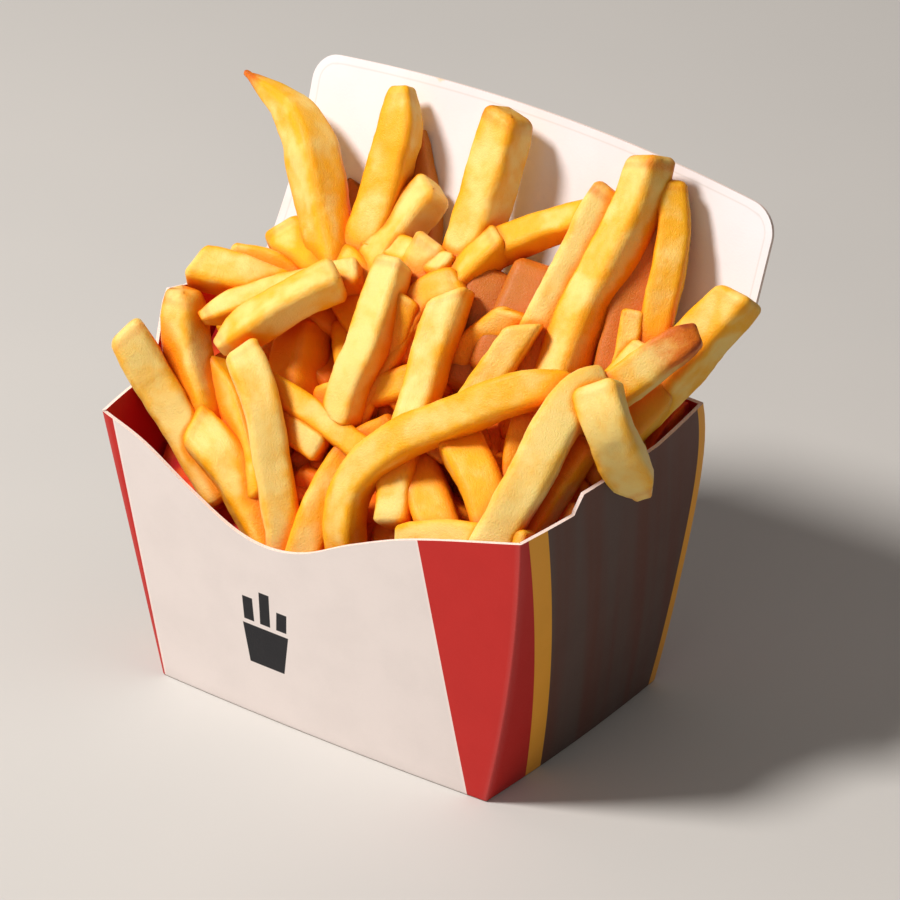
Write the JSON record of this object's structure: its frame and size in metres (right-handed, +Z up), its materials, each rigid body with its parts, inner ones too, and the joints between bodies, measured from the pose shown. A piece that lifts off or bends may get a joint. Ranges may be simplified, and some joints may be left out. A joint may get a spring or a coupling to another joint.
{
  "type": "french fries in a carton",
  "caption": "Thick-cut french fries heaped in a flared card carton with a scooped front rim and a tall back panel.",
  "frame": {"origin": "centre of the base's underside", "axes": "+Z up, -Y towards the front with the scooped rim, +X to the right along the front"},
  "size_m": [0.1439, 0.086, 0.1288],
  "materials": {
    "printed_board": "satin coated board, cream with red, amber and taupe fields of print, white inside the back panel",
    "fried_potato": "golden fried potato, slightly oily, browner at some tips"
  },
  "bodies": {
    "root": {"carton": "printed_board", "fries": "fried_potato"}
  },
  "joints": []
}
